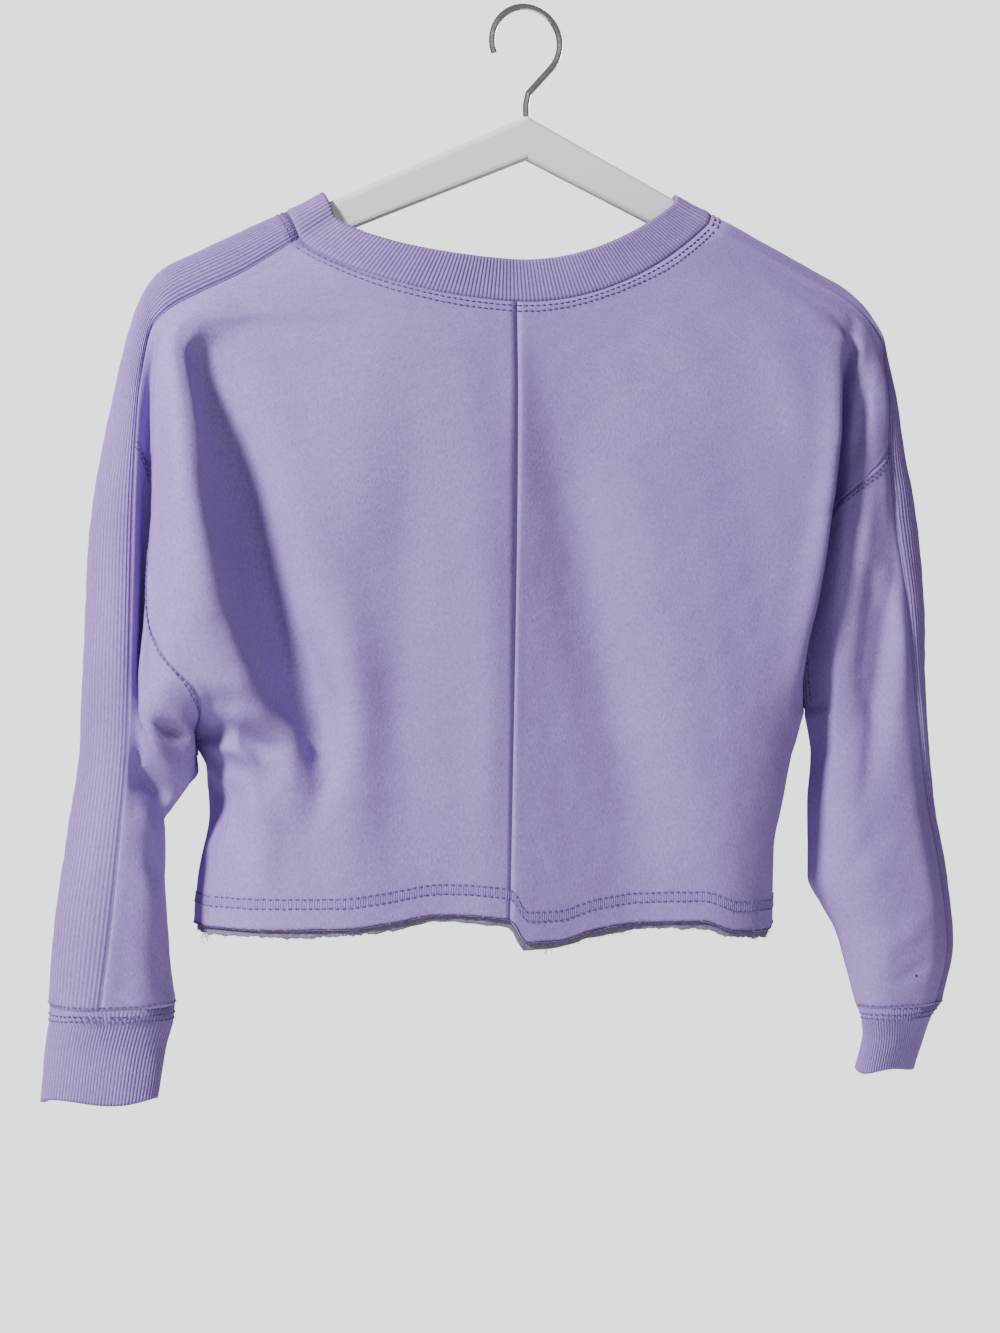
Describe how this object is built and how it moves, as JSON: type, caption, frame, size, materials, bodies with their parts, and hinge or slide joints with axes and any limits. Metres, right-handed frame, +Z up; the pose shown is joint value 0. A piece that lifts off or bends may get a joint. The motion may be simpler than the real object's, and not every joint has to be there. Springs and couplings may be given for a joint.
{
  "type": "cropped sweatshirt on a hanger",
  "caption": "Cropped fleece sweatshirt with ribbed side strips and a raw cut hem, hanging on a plain hanger.",
  "frame": {"origin": "the seat at the top of the inside of the hanger's hook", "axes": "+Z up, X along the hanger, the garment's back faces -Y"},
  "size_m": [0.5888, 0.1108, 0.6723],
  "materials": {
    "fleece": "matte lavender fleece",
    "rib": "matte lavender rib knit",
    "hanger_plastic": "pale grey, slightly glossy",
    "hook_wire": "plated wire"
  },
  "bodies": {
    "root": {"back_left": "fleece", "back_right": "fleece", "front": "fleece", "sleeve_left": "fleece", "sleeve_right": "fleece", "hem_facing": "fleece", "strip_left": "rib", "strip_right": "rib", "neckband": "rib", "cuff_left": "rib", "cuff_right": "rib", "hanger": "hanger_plastic", "hanger_hook": "hook_wire"}
  },
  "joints": []
}
